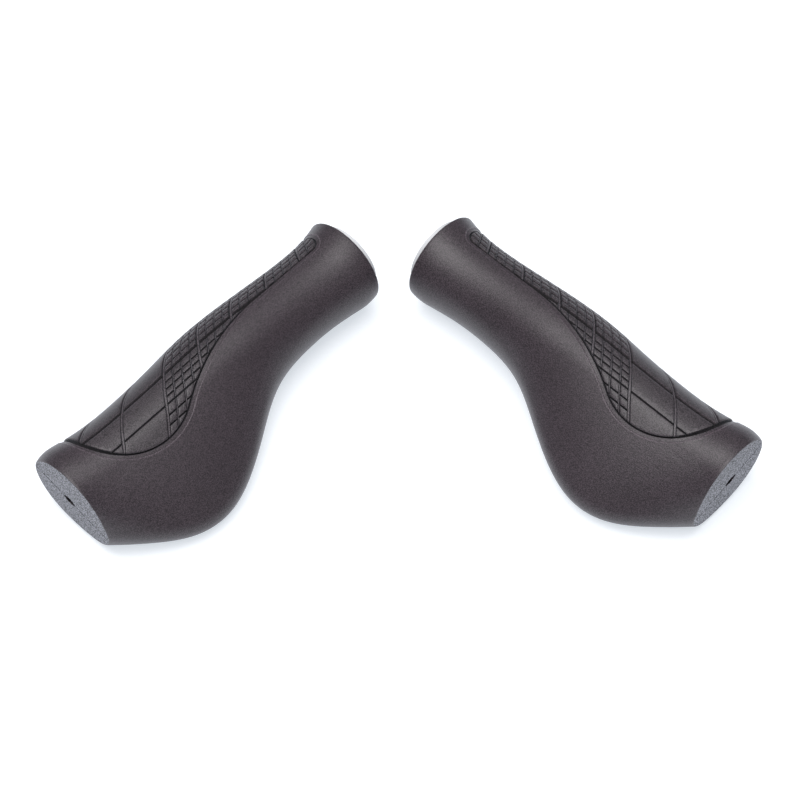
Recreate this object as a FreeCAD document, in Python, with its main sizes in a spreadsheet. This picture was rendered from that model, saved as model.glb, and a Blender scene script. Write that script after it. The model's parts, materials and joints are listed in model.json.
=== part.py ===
import FreeCAD, Part
import math
import os
import Sketcher

# A pair of ergonomic handlebar grips lying side by side, left and right mirrored.
#
# Each grip is built in its own local frame and then placed:
#   local X  along the handlebar, 0 at the closed outer end, growing to the open inner end
#            on the left grip and falling to it on the right one
#   local +Y the front of the barrel, where the fingers wrap
#   local -Y the palm wing
#   local +Z the upper side
# A cross-section is an oval of four arcs that run into each other: a front arc, a tip arc
# and two equal flank arcs of large radius.
#
# Lengths are in millimetres and angles in degrees.

DIMENSIONS = (
    ("bore_radius", 11.125, "slides over a 22.2 mm handlebar"),
    ("core_wall", 1.6, "wall of the rigid core tube"),
    ("flange_radius", 13.4, "flange round the core's mouth"),
    ("flange_thickness", 2.8, "how far the mouth stands proud of the rubber"),
    ("mouth_step", 0.5, "step in the flange's outer edge"),
    ("end_wall", 4.0, "rubber that closes the outer end"),
    ("inlay_thickness", 1.2, "depth of the recess and of the texture panel"),
    ("rim_round", 0.5, "rounding of the collar's rim"),
    ("vent_length", 5.4, "eye-shaped vent hole, along the parting line"),
    ("vent_height", 3.2, "eye-shaped vent hole, across the parting line"),
    ("blade_thickness", 3.0, "blade of the core inside the palm wing"),
    ("blade_round", 3.0, "rounding of the blade's corners"),
    ("panel_start", 11.2, "outer end of the texture panel, from the closed end"),
    ("panel_end", 127.4, "inner end of the texture panel, from the closed end"),
    ("panel_corner", 4.5, "corner radius at the panel's inner end"),
    ("bulge_radius", 24.3, "round wide part of the panel"),
    ("bulge_centre_y", 15.5, "centre of that round, towards the front"),
    ("strip_edge_y", 8.6, "edge of the panel's narrow strip, towards the front"),
    ("ease_radius", 82.7, "hollow curve between the wide part and the strip"),
    ("rim_spacing", 34.9, "between the two inner ends, across the pair"),
    ("rim_stagger", 2.2, "right inner end ahead of the left one"),
    ("left_yaw", 47.4, "left bar axis from the row's X axis"),
    ("right_yaw", 43.95, "right bar axis from the row's X axis"),
    ("droop", 18.9, "roll that brings the wing tip down to the surface"),
    ("origin_x", 0.0, "centre of the pair's box, worked out below"),
    ("origin_y", 0.0, "centre of the pair's box, worked out below"),
    ("origin_z", 0.0, "bottom of the pair's box, worked out below"),
)

# Cross-sections from the closed end to the rim.
SECTION_FIELDS = (
    "station", "front_reach", "wing_reach", "front_radius",
    "tip_radius", "flank_radius", "front_lift", "tip_lift",
)
SECTIONS = (
    (0.0, 16.8, 19.7, 16.4, 10.5, 34.0, 1.2, -1.8),
    (10.0, 16.9, 28.6, 16.4, 7.4, 60.0, 0.5, -0.4),
    (22.0, 15.5, 36.6, 16.6, 6.4, 90.0, 0.0, 0.0),
    (36.0, 15.4, 39.6, 16.7, 6.2, 110.0, 0.0, 0.0),
    (50.0, 16.1, 35.9, 16.7, 6.4, 100.0, 0.0, 0.0),
    (66.0, 17.3, 27.1, 16.6, 7.6, 70.0, 0.0, 0.0),
    (82.0, 17.1, 18.5, 16.2, 11.0, 36.0, 0.0, 0.0),
    (100.0, 15.8, 15.4, 15.0, 13.8, 20.0, 0.0, 0.0),
    (114.0, 14.9, 15.6, 14.8, 14.4, 17.5, 0.0, 0.0),
    (125.5, 15.1, 17.0, 15.7, 15.55, 17.3, 0.0, 0.0),
    (134.3, 16.8, 16.8, 16.72, 16.68, 17.12, 0.0, 0.0),
)

# Outline of the blade that carries the palm wing: distance along the bar, reach from its axis.
BLADE_CORNERS = ((16.0, 12.0), (19.0, 23.0), (28.0, 30.5), (44.0, 31.0), (58.0, 23.5), (72.0, 12.0))
# Holes that key the rubber to the blade: distance along the bar, reach, radius.
BLADE_HOLES = ((27.5, 20.5, 3.4), (40.0, 22.5, 4.2), (52.5, 18.5, 3.2))

FORM_HEIGHT = 60.0  # taller than any cross-section
FORM_FRONT = 26.0  # further forward than any cross-section
OVERLAP = 1.0  # how far a cutting form runs past what it cuts
SMALLEST_CUT = 1.0  # cubic millimetres; a cut that removes less has missed
SAME_PLACE = 0.01  # points nearer than this are taken to be one

SHEET = "Dimensions"
SIDES = {"left": 1, "right": -1}

document = FreeCAD.newDocument("handlebar_grips")


# ---------------------------------------------------------------- dimensions


def make_sheet():
    """Put every driving dimension in a named cell."""
    sheet = document.addObject("Spreadsheet::Sheet", SHEET)
    rows = list(DIMENSIONS)
    for index, section in enumerate(SECTIONS):
        for field, value in zip(SECTION_FIELDS, section):
            rows.append((f"{field}_{index}", value, f"cross-section {index}"))
    for line, (name, value, note) in enumerate(rows, start=1):
        sheet.set(f"A{line}", name)
        sheet.set(f"B{line}", str(value))
        sheet.set(f"C{line}", note)
        sheet.setAlias(f"B{line}", name)
    document.recompute()
    return sheet


def cell(name):
    """The value of a dimension, as a number."""
    return float(getattr(sheet, name))


# ------------------------------------------------------------------ sketches


def origin_plane(body, role):
    """One of a body's own origin planes, by its role."""
    return next(item for item in body.Origin.OriginFeatures if item.Role == role)


def new_sketch(body, name, role):
    """An empty sketch flat on one of the body's origin planes."""
    sketch = body.newObject("Sketcher::SketchObject", name)
    sketch.AttachmentSupport = [(origin_plane(body, role), "")]
    sketch.MapMode = "FlatFace"
    return sketch


def size(sketch, name, expression, kind, where, value):
    """Add a sized constraint, name it and tie it to the sheet; value is where it starts."""
    sketch.addConstraint(Sketcher.Constraint(kind, *where, value))
    sketch.renameConstraint(sketch.ConstraintCount - 1, name)
    if expression:
        sketch.setExpression(f"Constraints.{name}", expression)


def along_bar(edge, side, point=1):
    """The two points between which a distance along the bar from the closed end is measured."""
    return (-1, 1, edge, point) if side > 0 else (edge, point, -1, 1)


def link(sketch, kind, *joints):
    """Add the same unsized constraint at several places."""
    for joint in joints:
        sketch.addConstraint(Sketcher.Constraint(kind, *joint))


def circle_meeting(first, first_distance, second, second_distance, side):
    """The point at the given distances from two points, above (1) or below (-1) their line."""
    across = second - first
    gap = across.Length
    along = (gap**2 + first_distance**2 - second_distance**2) / (2 * gap)
    off = math.sqrt(first_distance**2 - along**2)
    unit = across / gap
    square = FreeCAD.Vector(-unit.y, unit.x, 0)
    return first + unit * along + square * (off * side)


def oval_arcs(index, inset):
    """The four arcs of one cross-section, in the sketch's own axes (front is +x, up is +y)."""
    front_reach, wing_reach, front_radius, tip_radius, flank_radius = (
        cell(f"{field}_{index}") - inset for field in SECTION_FIELDS[1:6]
    )
    front = FreeCAD.Vector(front_reach - front_radius, cell(f"front_lift_{index}"), 0)
    tip = FreeCAD.Vector(tip_radius - wing_reach, cell(f"tip_lift_{index}"), 0)
    from_front = flank_radius - front_radius
    from_tip = flank_radius - tip_radius
    upper = circle_meeting(front, from_front, tip, from_tip, 1)
    lower = circle_meeting(front, from_front, tip, from_tip, -1)
    if upper.y > lower.y:
        upper, lower = lower, upper

    def angle(start, end):
        return math.atan2(end.y - start.y, end.x - start.x)

    turn = 2 * math.pi
    front_up = angle(upper, front)
    tip_up = angle(upper, tip)
    tip_down = angle(lower, tip) % turn
    front_down = angle(lower, front)
    return (
        (front, front_radius, front_down, front_up),
        (upper, flank_radius, front_up, tip_up),
        (tip, tip_radius, tip_up, tip_down),
        (lower, flank_radius, tip_down, front_down + turn),
    )


def section_sketch(body, index, side, inset_name=None):
    """One cross-section, square to the bar; inset_name is the dimension it is shrunk by."""
    sketch = new_sketch(body, f"{body.Name}_section_{index}", "YZ_Plane")
    sign = "" if side > 0 else "-"
    sketch.setExpression(".AttachmentOffset.Base.z", f"{sign}{SHEET}.station_{index}")
    inset = cell(inset_name) if inset_name else 0.0
    for centre, radius, start, end in oval_arcs(index, inset):
        circle = Part.Circle(centre, FreeCAD.Vector(0, 0, 1), radius)
        sketch.addGeometry(Part.ArcOfCircle(circle, start, end), False)
    link(sketch, "Tangent", *((arc, 2, (arc + 1) % 4, 1) for arc in range(4)))
    link(sketch, "Equal", (1, 3))
    less = f" - {SHEET}.{inset_name}" if inset_name else ""
    for arc, name in ((0, "front"), (1, "flank"), (2, "tip")):
        text = f"{SHEET}.{name}_radius_{index}{less}"
        size(sketch, f"{name}_round", text, "Radius", (arc,), sketch.Geometry[arc].Radius)
    across = {
        0: f"{SHEET}.front_reach_{index} - {SHEET}.front_radius_{index}",
        2: f"{SHEET}.tip_radius_{index} - {SHEET}.wing_reach_{index}",
    }
    for arc, name in ((0, "front"), (2, "tip")):
        centre = sketch.Geometry[arc].Center
        size(sketch, f"{name}_x", across[arc], "DistanceX", (-1, 1, arc, 3), centre.x)
        up = f"{SHEET}.{name}_lift_{index}"
        size(sketch, f"{name}_y", up, "DistanceY", (-1, 1, arc, 3), centre.y)
    return sketch


# ------------------------------------------------------------- shared solids


def new_body(label):
    body = document.addObject("PartDesign::Body", label)
    body.Label = label
    return body


def lofted_form(label, side, inset_name=None):
    """The grip's outer form, or the same form shrunk all round by a dimension."""
    body = new_body(label)
    sketches = [section_sketch(body, index, side, inset_name) for index in range(len(SECTIONS))]
    loft = body.newObject("PartDesign::AdditiveLoft", f"{label}_loft")
    loft.Profile = sketches[0]
    loft.Sections = sketches[1:]
    document.recompute()
    return body


def round_edges(body, label, names, dimension):
    """Round the named edges of the body's last feature."""
    base = body.Tip
    fillet = body.newObject("PartDesign::Fillet", label)
    fillet.Base = (base, names)
    fillet.setExpression("Radius", f"{SHEET}.{dimension}")
    body.Tip = fillet
    document.recompute()


def cut_away(body, feature):
    """Make a cutting feature the body's tip and stop if it removes nothing."""
    before = body.Shape.Volume
    body.Tip = feature
    document.recompute()
    if before - body.Shape.Volume < SMALLEST_CUT:
        raise RuntimeError(f"{feature.Label} cuts nothing")


def round_rim(body, side):
    """Turn away the corner of the collar's rim, leaving a quarter round."""
    sketch = new_sketch(body, f"{body.Name}_rim_sketch", "XY_Plane")
    last = len(SECTIONS) - 1
    rim = cell(f"station_{last}")
    reach = cell(f"front_reach_{last}")
    rounding = cell("rim_round")
    corners = (
        (rim - rounding, reach), (rim - rounding, reach + OVERLAP),
        (rim + OVERLAP, reach + OVERLAP), (rim + OVERLAP, reach - rounding),
        (rim, reach - rounding),
    )
    points = [FreeCAD.Vector(side * x, y, 0) for x, y in corners]
    for first, second in zip(points, points[1:]):
        sketch.addGeometry(Part.LineSegment(first, second), False)
    start, stop = (0, math.pi / 2) if side > 0 else (math.pi / 2, math.pi)
    centre = FreeCAD.Vector(side * (rim - rounding), reach - rounding, 0)
    circle = Part.Circle(centre, FreeCAD.Vector(0, 0, 1), rounding)
    sketch.addGeometry(Part.ArcOfCircle(circle, start, stop), False)
    at_rim, at_side = (1, 2) if side > 0 else (2, 1)
    link(sketch, "Coincident", (0, 2, 1, 1), (1, 2, 2, 1), (2, 2, 3, 1))
    link(sketch, "Coincident", (3, 2, 4, at_rim), (4, at_side, 0, 1))
    link(sketch, "Vertical", (0,), (2,), (4, 3, 4, at_side))
    link(sketch, "Horizontal", (1,), (3,), (4, 3, 4, at_rim))
    size(sketch, "rounding", f"{SHEET}.rim_round", "Radius", (4,), rounding)
    text = f"{SHEET}.station_{last} - {SHEET}.rim_round"
    size(sketch, "along", text, "DistanceX", along_bar(4, side, 3), rim - rounding)
    text = f"{SHEET}.front_reach_{last} - {SHEET}.rim_round"
    size(sketch, "reach", text, "DistanceY", (-1, 1, 4, 3), reach - rounding)
    size(sketch, "above", None, "DistanceY", (0, 1, 0, 2), OVERLAP)
    beyond = (3, 2, 3, 1) if side > 0 else (3, 1, 3, 2)
    size(sketch, "beyond", None, "DistanceX", beyond, OVERLAP)
    groove = body.newObject("PartDesign::Groove", f"{body.Name}_rim_rounding")
    groove.Profile = sketch
    groove.ReferenceAxis = (sketch, ["H_Axis"])
    groove.Angle = 360
    cut_away(body, groove)


def add_vent(body, side):
    """The eye-shaped hole through the closed end: two equal arcs with their ends on the parting line."""
    sketch = new_sketch(body, f"{body.Name}_vent_sketch", "YZ_Plane")
    half = cell("vent_length") / 2
    rise = cell("vent_height") / 2
    radius = (half**2 + rise**2) / (2 * rise)
    opening = math.asin(half / radius)
    normal = FreeCAD.Vector(0, 0, 1)
    for flip in (1, -1):
        circle = Part.Circle(FreeCAD.Vector(0, flip * (rise - radius), 0), normal, radius)
        middle = flip * math.pi / 2
        sketch.addGeometry(Part.ArcOfCircle(circle, middle - opening, middle + opening), False)
    link(sketch, "Coincident", (0, 2, 1, 1), (1, 2, 0, 1))
    link(sketch, "Symmetric", (0, 1, 0, 2, -1, 1))
    link(sketch, "PointOnObject", (0, 1, -1))
    link(sketch, "Equal", (0, 1))
    size(sketch, "length", f"{SHEET}.vent_length", "DistanceX", (0, 2, 0, 1), 2 * half)
    half_text = f"({SHEET}.vent_length / 2)"
    rise_text = f"({SHEET}.vent_height / 2)"
    text = f"({half_text}^2 + {rise_text}^2) / (2 * {rise_text})"
    size(sketch, "bow", text, "Radius", (0,), radius)
    pocket = body.newObject("PartDesign::Pocket", f"{body.Name}_vent")
    pocket.Profile = sketch
    pocket.setExpression("Length", f"{SHEET}.end_wall + {OVERLAP}")
    pocket.Reversed = side > 0
    cut_away(body, pocket)


def grip_form(prefix, side):
    """The whole outside of a grip: lofted barrel, wing and collar, with rounded rim and vent hole."""
    body = lofted_form(f"{prefix}_grip_form", side)
    round_rim(body, side)
    add_vent(body, side)
    return body


# ------------------------------------------------------------- texture panel


def panel_window(prefix, side):
    """A tall block over the panel's outline, seen from above, the same above and below the wing.

    The outline is a square start, a large round for the wide part, a hollow curve that runs it
    into a straight strip, and a rounded corner at the inner end.
    """
    body = new_body(f"{prefix}_panel_window")
    sketch = new_sketch(body, f"{body.Name}_sketch", "XY_Plane")
    bulge_x = cell("panel_start") + cell("bulge_radius")
    bulge_y = cell("bulge_centre_y")
    strip_y = cell("strip_edge_y")
    ease = cell("ease_radius")
    corner = cell("panel_corner")
    end = cell("panel_end")
    ease_y = strip_y - ease
    ease_x = bulge_x + math.sqrt((cell("bulge_radius") + ease) ** 2 - (ease_y - bulge_y) ** 2)
    towards = math.atan2(ease_y - bulge_y, ease_x - bulge_x)

    def arc(x, y, radius, start, stop):
        """An arc from start to stop, turned over for the right grip."""
        if side < 0:
            x, start, stop = -x, math.pi - stop, math.pi - start
        circle = Part.Circle(FreeCAD.Vector(x, y, 0), FreeCAD.Vector(0, 0, 1), radius)
        return Part.ArcOfCircle(circle, start, stop)

    def line(start, stop):
        ends = [FreeCAD.Vector(side * x, y, 0) for x, y in (start, stop)]
        return Part.LineSegment(*ends)

    bulge = arc(bulge_x, bulge_y, cell("bulge_radius"), math.pi, 2 * math.pi + towards)
    hollow = arc(ease_x, ease_y, ease, math.pi / 2, math.pi + towards)
    round_corner = arc(end - corner, strip_y + corner, corner, 1.5 * math.pi, 2 * math.pi)
    strip = line((ease_x, strip_y), (end - corner, strip_y))
    inner = line((end, strip_y + corner), (end, FORM_FRONT))
    front = line((end, FORM_FRONT), (cell("panel_start"), FORM_FRONT))
    outer = line((cell("panel_start"), FORM_FRONT), (cell("panel_start"), bulge_y))
    for geometry in (bulge, hollow, strip, round_corner, inner, front, outer):
        sketch.addGeometry(geometry, False)
    first, last = (1, 2) if side > 0 else (2, 1)
    tangents = (
        (0, last, 1, last), (1, first, 2, 1), (2, 2, 3, first), (3, last, 4, 1), (6, 2, 0, first),
    )
    link(sketch, "Tangent", *tangents)
    link(sketch, "Coincident", (4, 2, 5, 1), (5, 2, 6, 1))
    link(sketch, "Horizontal", (2,), (5,))
    link(sketch, "Vertical", (4,), (6,))
    sized = (
        ("bulge_radius", "Radius", (0,)),
        ("ease_radius", "Radius", (1,)),
        ("panel_corner", "Radius", (3,)),
        ("bulge_centre_y", "DistanceY", (-1, 1, 0, 3)),
        ("strip_edge_y", "DistanceY", (-1, 1, 2, 1)),
        ("panel_start", "DistanceX", along_bar(6, side)),
        ("panel_end", "DistanceX", along_bar(4, side)),
    )
    for name, kind, where in sized:
        size(sketch, name, f"{SHEET}.{name}", kind, where, cell(name))
    size(sketch, "front", None, "DistanceY", (-1, 1, 5, 1), FORM_FRONT)
    pad = body.newObject("PartDesign::Pad", f"{body.Name}_pad")
    pad.Profile = sketch
    pad.Length = FORM_HEIGHT
    pad.Midplane = True
    document.recompute()
    return body


# ---------------------------------------------------------------------- core


def core_profile(body, side):
    """Half section of the core tube and its stepped flange, to be turned about the bar axis."""
    sketch = new_sketch(body, f"{body.Name}_profile", "XY_Plane")
    inner = cell("bore_radius")
    outer = inner + cell("core_wall")
    start = cell("end_wall")
    rim = cell(f"station_{len(SECTIONS) - 1}")
    end = rim + cell("flange_thickness")
    flange = cell("flange_radius")
    step = cell("mouth_step")
    corners = (
        (start, inner), (end, inner), (end, flange - step), (end - step, flange - step),
        (end - step, flange), (rim, flange), (rim, outer), (start, outer),
    )
    points = [FreeCAD.Vector(side * x, y, 0) for x, y in corners]
    count = len(points)
    for first, second in zip(points, points[1:] + points[:1]):
        sketch.addGeometry(Part.LineSegment(first, second), False)
    link(sketch, "Coincident", *((index, 2, (index + 1) % count, 1) for index in range(count)))
    link(sketch, "Horizontal", (0,), (2,), (4,), (6,))
    link(sketch, "Vertical", (1,), (3,), (5,), (7,))
    back = f"{SHEET}.station_{len(SECTIONS) - 1}"
    face = f"{back} + {SHEET}.flange_thickness"
    across = (
        ("bore", f"{SHEET}.bore_radius", 0, inner),
        ("mouth", f"{SHEET}.flange_radius - {SHEET}.mouth_step", 2, flange - step),
        ("flange", f"{SHEET}.flange_radius", 4, flange),
        ("tube", f"{SHEET}.bore_radius + {SHEET}.core_wall", 6, outer),
    )
    for name, text, edge, value in across:
        size(sketch, name, text, "DistanceY", (-1, 1, edge, 1), value)
    along = (
        ("closed_end", f"{SHEET}.end_wall", 7, start),
        ("flange_back", back, 5, rim),
        ("step_face", f"{face} - {SHEET}.mouth_step", 3, end - step),
        ("mouth_face", face, 1, end),
    )
    for name, text, edge, value in along:
        size(sketch, name, text, "DistanceX", along_bar(edge, side), value)
    return sketch


def blade_sketch(body, side):
    """Outline of the flat blade, with its rubber-keying holes."""
    sketch = new_sketch(body, f"{body.Name}_blade_sketch", "XY_Plane")
    points = [FreeCAD.Vector(side * along, -reach, 0) for along, reach in BLADE_CORNERS]
    count = len(points)
    for index in range(count):
        sketch.addGeometry(Part.LineSegment(points[index], points[(index + 1) % count]), False)
        sketch.addConstraint(Sketcher.Constraint("Block", index))
    for along, reach, radius in BLADE_HOLES:
        centre = FreeCAD.Vector(side * along, -reach, 0)
        hole = sketch.addGeometry(Part.Circle(centre, FreeCAD.Vector(0, 0, 1), radius), False)
        sketch.addConstraint(Sketcher.Constraint("Block", hole))
    return sketch


def core(prefix, side):
    """Rigid tube that slides over the bar, with its end flange and the blade inside the wing."""
    body = new_body(f"{prefix}_core")
    tube = body.newObject("PartDesign::Revolution", f"{prefix}_tube")
    profile = core_profile(body, side)
    tube.Profile = profile
    tube.ReferenceAxis = (profile, ["H_Axis"])
    tube.Angle = 360
    body.Tip = tube
    document.recompute()
    blade = body.newObject("PartDesign::Pad", f"{prefix}_blade")
    blade.Profile = blade_sketch(body, side)
    blade.setExpression("Length", f"{SHEET}.blade_thickness")
    blade.Midplane = True
    body.Tip = blade
    document.recompute()
    corners = [
        f"Edge{number}"
        for number, edge in enumerate(body.Shape.Edges, start=1)
        if is_blade_corner(edge)
    ]
    round_edges(body, f"{prefix}_blade_rounding", corners, "blade_round")
    return body


def is_blade_corner(edge):
    """Whether an edge is one of the blade's free upright corners."""
    first, last = (edge.valueAt(point) for point in edge.ParameterRange)
    upright = abs(abs(first.z - last.z) - cell("blade_thickness")) < SAME_PLACE
    straight = edge.Curve.TypeId == "Part::GeomLine"
    free = -first.y > cell("bore_radius") + 2 * cell("core_wall")
    on_corner = any(abs(-first.y - reach) < SAME_PLACE for along, reach in BLADE_CORNERS)
    return upright and straight and free and on_corner


# --------------------------------------------------------------------- grips


def combine(kind, label, base, tool):
    """A Part boolean of two objects."""
    result = document.addObject(kind, label)
    result.Base = base
    result.Tool = tool
    result.Label = label
    return result


def build_grip(prefix, side):
    """All sub-parts of one grip, as a list of the objects that are written out."""
    form = grip_form(prefix, side)
    floor = lofted_form(f"{prefix}_recess_floor", side, "inlay_thickness")
    window = panel_window(prefix, side)
    rigid = core(prefix, side)
    bore = document.addObject("Part::Cylinder", f"{prefix}_bore_form")
    bore.setExpression("Radius", f"{SHEET}.bore_radius + {SHEET}.core_wall / 2")
    bore.setExpression("Height", f"{SHEET}.station_{len(SECTIONS) - 1} - {SHEET}.end_wall + {OVERLAP}")
    shell = combine("Part::Cut", f"{prefix}_panel_shell", window, floor)
    panel = combine("Part::Common", f"{prefix}_texture_panel", form, shell)
    core_space = document.addObject("Part::Fuse", f"{prefix}_core_space")
    core_space.Base = rigid
    core_space.Tool = bore
    recessed = combine("Part::Cut", f"{prefix}_recessed_form", form, shell)
    sleeve = combine("Part::Cut", f"{prefix}_sleeve", recessed, core_space)
    return [sleeve, panel, rigid], (form, floor, window, rigid), bore


def place_grip(prefix, bodies, bore):
    """Lay the bodies of one grip down where it belongs in the pair."""
    side = SIDES[prefix]
    yaw = side * cell(f"{prefix}_yaw")
    turn = FreeCAD.Rotation(yaw, 0, cell("droop"))
    inward = turn.multVec(FreeCAD.Vector(side, 0, 0))
    rim = FreeCAD.Vector(-side * cell("rim_spacing") / 2, -side * cell("rim_stagger") / 2, 0)
    origin = FreeCAD.Vector(cell("origin_x"), cell("origin_y"), cell("origin_z"))
    closed_end = rim - inward * cell(f"station_{len(SECTIONS) - 1}") - origin
    for body in bodies:
        body.Placement = FreeCAD.Placement(closed_end, turn)
    upright_to_bar = FreeCAD.Rotation(FreeCAD.Vector(0, 0, 1), FreeCAD.Vector(side, 0, 0))
    bore_foot = closed_end + inward * cell("end_wall")
    bore.Placement = FreeCAD.Placement(bore_foot, turn.multiply(upright_to_bar))


def pair_box(nodes):
    """The tight box around every sub-part."""
    box = FreeCAD.BoundBox()
    for node in nodes:
        box.add(node.Shape.optimalBoundingBox(False, False))
    return box


def move_origin_under_pair(nodes):
    """Set the origin cells so that the row's origin is the bottom centre of the pair's box."""
    box = pair_box(nodes)
    for name, value in (
        ("origin_x", box.Center.x),
        ("origin_y", box.Center.y),
        ("origin_z", box.ZMin),
    ):
        sheet.set(sheet.getCellFromAlias(name), f"{value:.4f}")
    document.recompute([sheet])


def check_document(nodes):
    """Stop if any object failed or any sub-part is not a valid solid."""
    for obj in document.Objects:
        if "Invalid" in obj.State or "Error" in obj.State:
            raise RuntimeError(f"{obj.Label} failed: {obj.State}")
    for node in nodes:
        shape = node.Shape
        if shape.isNull() or not shape.isValid() or len(shape.Solids) < 1:
            raise RuntimeError(f"{node.Label} is not a valid solid")


def write_parts(nodes):
    """One STEP file for each sub-part, named by its label."""
    os.makedirs("parts", exist_ok=True)
    for node in nodes:
        node.Shape.exportStep(f"parts/{node.Label}.step")
        box = node.Shape.optimalBoundingBox(False, False)
        size = " x ".join(f"{length:.1f}" for length in (box.XLength, box.YLength, box.ZLength))
        print(f"{node.Label}: {size} mm, {node.Shape.Volume / 1000:.2f} cm3")


sheet = make_sheet()
nodes = []
placed = []
for prefix, side in SIDES.items():
    written, bodies, bore = build_grip(prefix, side)
    nodes += written
    placed.append((prefix, bodies, bore))
for arrangement in placed:
    place_grip(*arrangement)
document.recompute()
move_origin_under_pair(nodes)
for arrangement in placed:
    place_grip(*arrangement)
document.recompute()
check_document(nodes)
write_parts(nodes)
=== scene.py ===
"""Looks of a pair of winged handlebar grips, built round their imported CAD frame."""

import json
import math

import bmesh
import bpy
import numpy as np
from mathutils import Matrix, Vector
from mathutils.bvhtree import BVHTree
from mathutils.geometry import delaunay_2d_cdt


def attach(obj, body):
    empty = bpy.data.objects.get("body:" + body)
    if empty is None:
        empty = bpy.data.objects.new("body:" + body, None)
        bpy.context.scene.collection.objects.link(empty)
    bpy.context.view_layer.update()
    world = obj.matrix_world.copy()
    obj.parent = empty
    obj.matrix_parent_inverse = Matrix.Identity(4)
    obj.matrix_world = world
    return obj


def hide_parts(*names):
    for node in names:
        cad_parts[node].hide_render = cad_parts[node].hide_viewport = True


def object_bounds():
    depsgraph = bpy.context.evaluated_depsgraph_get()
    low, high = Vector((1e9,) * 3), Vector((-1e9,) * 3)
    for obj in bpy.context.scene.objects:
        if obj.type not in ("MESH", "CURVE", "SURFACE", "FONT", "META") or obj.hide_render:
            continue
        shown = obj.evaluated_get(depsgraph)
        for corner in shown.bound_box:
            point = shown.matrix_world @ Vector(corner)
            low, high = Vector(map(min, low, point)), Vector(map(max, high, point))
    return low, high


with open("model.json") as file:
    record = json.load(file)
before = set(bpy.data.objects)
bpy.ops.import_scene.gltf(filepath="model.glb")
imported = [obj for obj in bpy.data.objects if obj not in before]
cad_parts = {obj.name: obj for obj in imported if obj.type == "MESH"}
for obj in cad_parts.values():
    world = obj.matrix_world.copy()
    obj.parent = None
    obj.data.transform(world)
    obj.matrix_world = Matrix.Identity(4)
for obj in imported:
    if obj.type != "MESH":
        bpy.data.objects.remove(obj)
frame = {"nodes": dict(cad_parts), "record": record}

cad_low, cad_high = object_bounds()

# Every piece is worked out in the grip's own frame and then carried to the row frame:
#   a      distance along the bar, 0 at the closed outer face, growing to the open mouth
#   theta  angle round the bar axis, 0 at the palm wing, 90 degrees on top, 180 at the front
# Lengths are in metres.

MM = 0.001

# ---------------------------------------------------------------- sizes of the CAD pieces

END_WALL = 4.0 * MM  # rubber that closes the outer end
BODY_LENGTH = 134.3 * MM  # outer face to the rim, without the core's flange
FLANGE_RADIUS = 13.4 * MM
CORE_RADIUS = frame["record"]["mounts"][0]["dims"]["r_mm"] * MM + 1.6 * MM  # the bore and its wall
INLAY_DEPTH = 1.2 * MM
RIM_ROUND = 0.5 * MM
VENT_LENGTH = 5.4 * MM
VENT_HEIGHT = 3.2 * MM

# Outline of the texture panel in plan: distance along the bar, distance to the front.
PANEL_START = 11.2 * MM
PANEL_END = 127.4 * MM
PANEL_CORNER = 4.5 * MM
STRIP_EDGE = 8.6 * MM
BULGE_RADIUS = 24.3 * MM
BULGE_FRONT = 15.5 * MM
EASE_RADIUS = 82.7 * MM
BULGE_ALONG = PANEL_START + BULGE_RADIUS
EASE_FRONT = STRIP_EDGE - EASE_RADIUS
EASE_ALONG = BULGE_ALONG + math.sqrt(
    (BULGE_RADIUS + EASE_RADIUS) ** 2 - (BULGE_FRONT - EASE_FRONT) ** 2
)

# ---------------------------------------------------------------- sizes of the moulded detail

# Height of the sleeve round the panel's recess, where a sunk band runs round the recess:
# distance outside the recess wall, height.
BAND_PROFILE = (
    (-0.06 * MM, -INLAY_DEPTH),
    (0.0, -0.48 * MM),
    (0.12 * MM, -0.34 * MM),
    (1.25 * MM, -0.30 * MM),
    (1.42 * MM, -0.02 * MM),
    (1.55 * MM, 0.03 * MM),
    (1.90 * MM, 0.0),
)
# How strong the painted highlight along the band's outer edge is: distance outside the recess wall,
# highlight.
BAND_PAINTED_HIGHLIGHT = ((1.30 * MM, 0.0), (1.42 * MM, 0.8), (1.62 * MM, 0.8), (1.85 * MM, 0.0))
# How much of its depth and painted highlight the band keeps: distance along the bar, share.
BAND_FADE = ((45.0 * MM, 1.0), (70.0 * MM, 0.35), (116.0 * MM, 0.35), (124.0 * MM, 1.0))
PANEL_GAP = 0.5 * MM  # between the recess wall and the panel
START_GAP = 0.8 * MM  # more of that gap at the panel's outer end
START_FADE = ((13.0 * MM, 1.0), (20.0 * MM, 0.0))  # how it fades: distance along the bar, share
# Height of the panel near its edge: distance outside the recess wall, height.
PANEL_EDGE = (
    (-PANEL_GAP, -0.30 * MM),
    (-PANEL_GAP - 0.10 * MM, -0.12 * MM),
    (-PANEL_GAP - 0.30 * MM, 0.0),
)
END_ROUND = 0.35 * MM  # rounding of the outer face's edge
SEAM_DEPTH = 0.45 * MM  # moulding line across the outer face
SEAM_HALF_WIDTH = 0.32 * MM
SEAM_REACH = (-18.0 * MM, 26.0 * MM)  # towards the front and the wing, cut off near the edge
SEAM_STEP = 1.0 * MM
SEAM_MARGIN = 1.0 * MM
VENT_MARGIN = 0.25 * MM  # width of the crisp flat ring round the vent
VENT_ARC_STEPS = 14

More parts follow.
